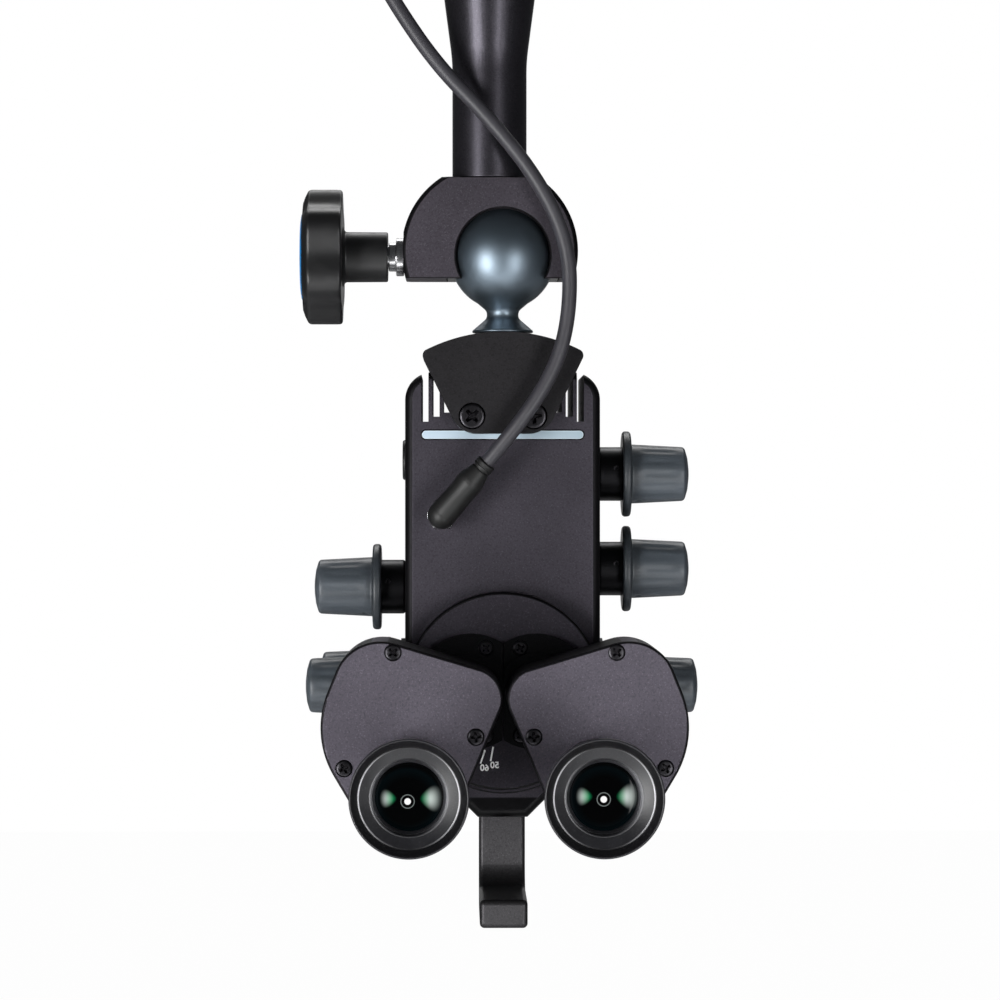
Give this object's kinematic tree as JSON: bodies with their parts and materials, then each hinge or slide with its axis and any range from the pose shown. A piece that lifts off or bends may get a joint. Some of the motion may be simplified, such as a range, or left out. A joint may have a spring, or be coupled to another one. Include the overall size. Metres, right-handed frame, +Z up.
{
  "type": "surgical microscope head",
  "caption": "Suspended binocular surgical microscope head on a clamped ball joint, with hinged eyepiece housings, side control knobs, a lower handle and a short cable.",
  "frame": {"origin": "mouth of the arm socket on the drop tube's axis", "axes": "+Z up out of the arm socket, -Y towards the operator, +X to the operator's right"},
  "size_m": [0.1375, 0.207, 0.388],
  "materials": {
    "arm_enamel": "satin black enamel",
    "black_plastic": "fine-grained moulded plastic",
    "clamp_enamel": "charcoal enamel",
    "bright_steel": "turned steel",
    "knob_black": "polished thermoset",
    "cap_blue": "smooth",
    "ball_blue": "satin slate-blue anodised",
    "bracket_enamel": "satin black enamel",
    "black_screws": "blackened",
    "head_enamel": "fine-textured charcoal enamel",
    "light_window": "clear pale blue",
    "socket_chrome": "polished",
    "cable_rubber": "smooth cable sheath",
    "grip_silicone": "translucent grey-blue silicone",
    "optical_glass": "coated",
    "mirror_glass": "front-silvered",
    "lamp_alloy": "bare heat sink",
    "board_green": "solder mask",
    "ear_enamel": "charcoal enamel",
    "eyecup_rubber": "soft black",
    "cell_alloy": "black anodised"
  },
  "bodies": {
    "arm": {"drop_tube": "arm_enamel", "arm_collar": "arm_enamel", "cable_gland": "black_plastic", "clamp_block": "clamp_enamel", "lock_nut": "bright_steel", "head_cable": "cable_rubber"},
    "clamp_screw": {"clamp_knob": "knob_black", "clamp_knob_cap": "cap_blue", "clamp_stud": "bright_steel"},
    "liner": {"ball_liner": "bright_steel"},
    "ball": {"ball_stud": "ball_blue"},
    "head": {"fan_bracket": "bracket_enamel", "bracket_screws": "black_screws", "head_housing": "head_enamel", "rear_cover": "head_enamel", "light_strip": "light_window", "side_cap": "black_plastic", "cable_socket": "socket_chrome", "plug_elbow": "cable_rubber", "plug_boot": "cable_rubber", "lamp_module": "lamp_alloy", "collector_lenses": "optical_glass", "fold_mirror": "mirror_glass", "dimmer": "black_plastic", "driver_board": "board_green", "binocular_base": "head_enamel", "left_pivot_hub": "ear_enamel", "right_pivot_hub": "ear_enamel", "hub_screws": "black_screws", "handle_bar": "bracket_enamel", "objective_housing": "head_enamel", "front_glass": "optical_glass"},
    "brightness_control": {"brightness_shaft": "black_plastic", "brightness_grip": "grip_silicone"},
    "filter_control": {"filter_barrel": "black_plastic", "filter_grip": "grip_silicone"},
    "spot_control": {"spot_barrel": "black_plastic", "spot_grip": "grip_silicone"},
    "magnification_changer": {"magnification_drum": "cell_alloy", "drum_lenses": "optical_glass", "left_drum_grip": "grip_silicone", "right_drum_grip": "grip_silicone"},
    "focus_control": {"focus_shaft": "black_plastic", "focus_grip": "grip_silicone"},
    "focusing_cell": {"lens_cell": "cell_alloy", "focusing_lens": "optical_glass"},
    "left_ear": {"left_ear_housing": "ear_enamel", "left_ear_cover": "ear_enamel", "left_ear_screws": "black_screws", "left_prism": "optical_glass", "left_eyepiece_barrel": "cell_alloy", "left_eye_lens": "optical_glass"},
    "left_cup": {"left_eyecup": "eyecup_rubber"},
    "right_ear": {"right_ear_housing": "ear_enamel", "right_ear_cover": "ear_enamel", "right_ear_screws": "black_screws", "right_prism": "optical_glass", "right_eyepiece_barrel": "cell_alloy", "right_eye_lens": "optical_glass"},
    "right_cup": {"right_eyecup": "eyecup_rubber"}
  },
  "joints": [
    {"name": "clamp_knob_turn", "type": "hinge", "parent": "arm", "child": "clamp_screw", "pos_m": [0, 0, -0.1619], "axis": [1, 0, 0], "range_deg": [-20, 340]},
    {"name": "ball_roll", "type": "hinge", "parent": "arm", "child": "liner", "pos_m": [0.0045, 0, -0.1619], "axis": [0, 1, 0], "range_deg": [-20, 20], "deforming": ["head_cable"]},
    {"name": "ball_tilt", "type": "hinge", "parent": "liner", "child": "ball", "pos_m": [0.0045, 0, -0.1619], "axis": [1, 0, 0], "range_deg": [-75, 30], "deforming": ["head_cable"]},
    {"name": "head_turn", "type": "hinge", "parent": "ball", "child": "head", "pos_m": [0.0045, 0, -0.1619], "axis": [0, 0, 1], "range_deg": [-60, 60], "deforming": ["head_cable"]},
    {"name": "brightness_turn", "type": "hinge", "parent": "head", "child": "brightness_control", "pos_m": [0.0045, 0.025, -0.2359], "axis": [1, 0, 0], "range_deg": [-135, 135]},
    {"name": "filter_turn", "type": "hinge", "parent": "head", "child": "filter_control", "pos_m": [0.0045, 0.025, -0.269], "axis": [1, 0, 0], "range_deg": [0, 270]},
    {"name": "spot_turn", "type": "hinge", "parent": "head", "child": "spot_control", "pos_m": [0.0045, 0.025, -0.2753], "axis": [-1, 0, 0], "range_deg": [0, 180]},
    {"name": "magnification_turn", "type": "hinge", "parent": "head", "child": "magnification_changer", "pos_m": [0.0045, 0.025, -0.3098], "axis": [1, 0, 0], "continuous": true},
    {"name": "focus_turn", "type": "hinge", "parent": "head", "child": "focus_control", "pos_m": [0.0045, 0.075, -0.3098], "axis": [-1, 0, 0], "range_deg": [-65, 65]},
    {"name": "focus_slide", "type": "slide", "parent": "head", "child": "focusing_cell", "axis": [0, 1, 0], "range_m": [-0.006, 0.006]},
    {"name": "left_ear_swing", "type": "hinge", "parent": "head", "child": "left_ear", "pos_m": [-0.0065, 0, -0.3098], "axis": [0, 1, 0], "range_deg": [-10, 15]},
    {"name": "right_ear_swing", "type": "hinge", "parent": "head", "child": "right_ear", "pos_m": [0.0155, 0, -0.3098], "axis": [0, 1, 0], "range_deg": [-15, 10]},
    {"name": "left_eyecup_turn", "type": "hinge", "parent": "left_ear", "child": "left_cup", "pos_m": [-0.0261, 0, -0.3383], "axis": [0, 1, 0], "range_deg": [-150, 150]},
    {"name": "right_eyecup_turn", "type": "hinge", "parent": "right_ear", "child": "right_cup", "pos_m": [0.0351, 0, -0.3383], "axis": [0, 1, 0], "range_deg": [-150, 150]}
  ],
  "couplings": [
    {"joint": "focus_slide", "follows": "focus_turn", "m_per_rad": 0.005},
    {"joint": "right_ear_swing", "follows": "left_ear_swing", "ratio": -1}
  ]
}
